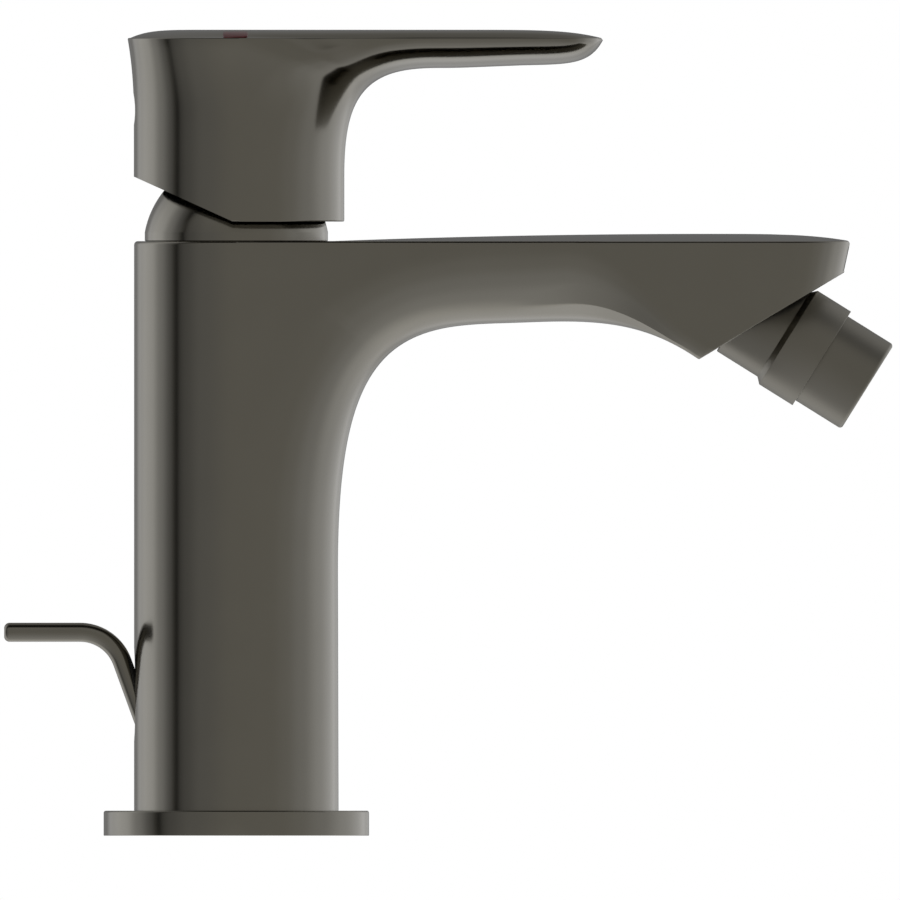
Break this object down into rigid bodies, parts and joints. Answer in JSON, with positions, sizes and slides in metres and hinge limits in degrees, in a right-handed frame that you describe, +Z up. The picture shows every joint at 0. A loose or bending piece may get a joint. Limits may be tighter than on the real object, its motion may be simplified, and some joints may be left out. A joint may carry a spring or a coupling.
{
  "type": "bidet mixer",
  "caption": "Single-lever bidet mixer in polished gun-metal with a ball-jointed nozzle and a pop-up lift rod.",
  "frame": {"origin": "centre of the base's underside, on the column's axis, in the deck's plane", "axes": "+Z up along the column, +X from the column towards the spout's tip, the hot side on -Y"},
  "size_m": [0.1955, 0.0584, 0.1773],
  "materials": {
    "gunmetal": "polished gun-metal PVD on brass, warm dark grey",
    "brass": "machined brass",
    "steel": "turned stainless steel",
    "ceramic": "lapped alumina",
    "rubber": "black nitrile rubber",
    "white_plastic": "moulded white acetal",
    "grey_plastic": "moulded grey acetal"
  },
  "bodies": {
    "body": {"body_casting": "gunmetal", "base_ring": "gunmetal", "deck_gasket": "rubber", "rod_guide": "grey_plastic", "cartridge_base": "white_plastic", "port_seals": "rubber", "fixed_disc": "ceramic", "cartridge_housing": "white_plastic", "retaining_nut": "brass", "domed_cap": "gunmetal", "cap_oring": "rubber", "nipple_washer": "rubber"},
    "turret_body": {"turret": "grey_plastic", "pivot_pin": "steel"},
    "disc": {"moving_disc": "ceramic", "disc_carrier": "white_plastic"},
    "lever_body": {"spindle": "steel", "lever": "gunmetal", "lever_screw": "steel", "screw_plug": "gunmetal"},
    "ball_link": {"ball_nipple": "steel"},
    "nozzle": {"swivel_shell": "gunmetal", "ball_oring": "rubber", "ball_seat": "white_plastic", "aerator_washer": "rubber", "aerator_insert": "white_plastic", "aerator_screen": "grey_plastic", "outlet_ring": "gunmetal"},
    "rod": {"lift_rod": "gunmetal"}
  },
  "joints": [
    {"name": "lever_swivel", "type": "hinge", "parent": "body", "child": "turret_body", "pos_m": [0, 0, 0.129], "axis": [0, 0, 1], "range_deg": [-45, 45]},
    {"name": "lever_lift", "type": "hinge", "parent": "turret_body", "child": "lever_body", "pos_m": [0, 0, 0.129], "axis": [0, -1, 0], "range_deg": [0, 24]},
    {"name": "disc_slide", "type": "slide", "parent": "turret_body", "child": "disc", "axis": [1, 0, 0], "range_m": [0, 0.0049]},
    {"name": "nozzle_turn", "type": "hinge", "parent": "body", "child": "ball_link", "pos_m": [0.11438, 0, 0.11401], "axis": [0.5135, 0, -0.8581], "continuous": true},
    {"name": "nozzle_tilt", "type": "hinge", "parent": "ball_link", "child": "nozzle", "pos_m": [0.11438, 0, 0.11401], "axis": [0, 1, 0], "range_deg": [0, 54]},
    {"name": "rod_slide", "type": "slide", "parent": "body", "child": "rod", "axis": [-0.342, 0, 0.9397], "range_m": [0, 0.02]}
  ],
  "couplings": [
    {"joint": "disc_slide", "follows": "lever_lift", "m_per_rad": 0.01165}
  ]
}
